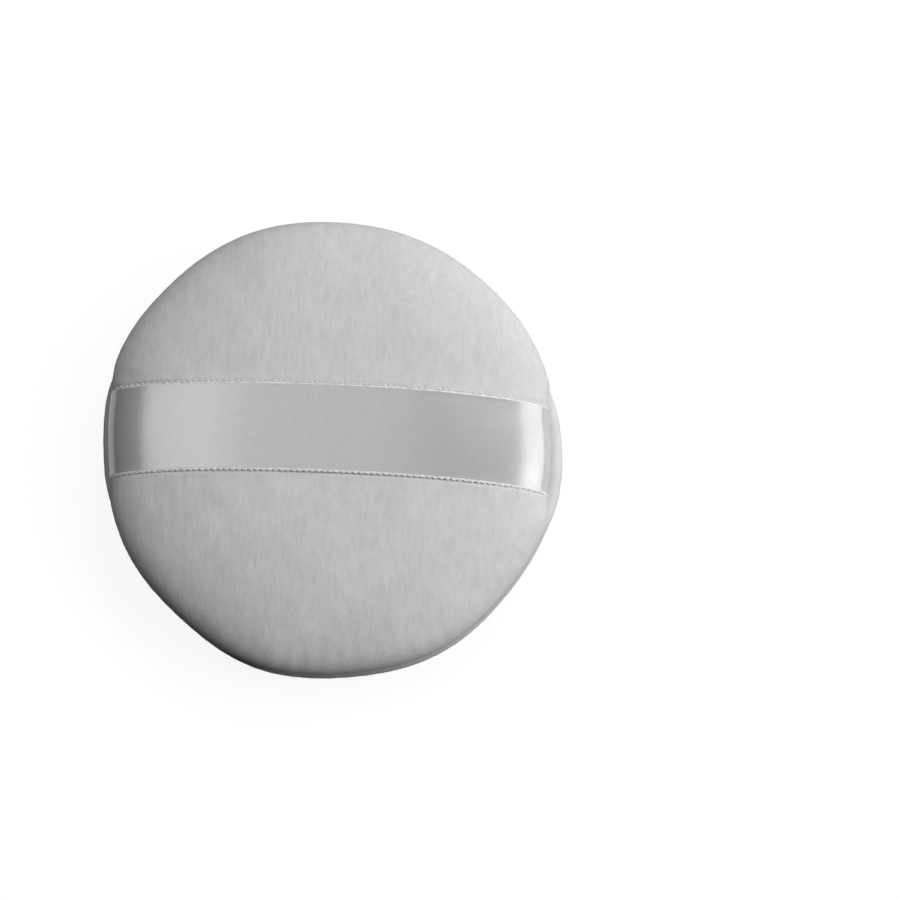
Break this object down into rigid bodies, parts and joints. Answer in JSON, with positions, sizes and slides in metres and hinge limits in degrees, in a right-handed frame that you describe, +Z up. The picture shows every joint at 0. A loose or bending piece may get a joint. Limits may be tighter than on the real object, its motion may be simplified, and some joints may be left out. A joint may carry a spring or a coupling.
{
  "type": "powder puff",
  "caption": "Round velour powder puff with a soft padded core and a satin ribbon across the back that lifts as a finger loop.",
  "frame": {"origin": "middle of the flat on which the powder face rests", "axes": "+Z up through the ribbon side, +X along the ribbon"},
  "size_m": [0.0798, 0.0807, 0.0161],
  "materials": {
    "back_velour": "short-pile velour, soft mottled nap",
    "face_velour": "short-pile velour, brushed smooth",
    "foam": "soft open-cell foam",
    "wadding": "loose polyester fibre",
    "satin": "satin",
    "thread": "spun sewing thread"
  },
  "bodies": {
    "pad": {"back_cover": "back_velour", "face_cover": "face_velour", "foam_core": "foam", "back_wadding": "wadding", "face_wadding": "wadding", "ribbon_tail_left": "satin", "ribbon_tail_right": "satin", "rim_seam_front": "thread", "rim_seam_rear_left": "thread", "rim_seam_rear_right": "thread", "closing_stitches": "thread"},
    "strap": {"satin_ribbon": "satin"}
  },
  "joints": [
    {"name": "ribbon_lift", "type": "slide", "parent": "pad", "child": "strap", "axis": [0, 0, 1], "range_m": [0, 0.01]}
  ]
}
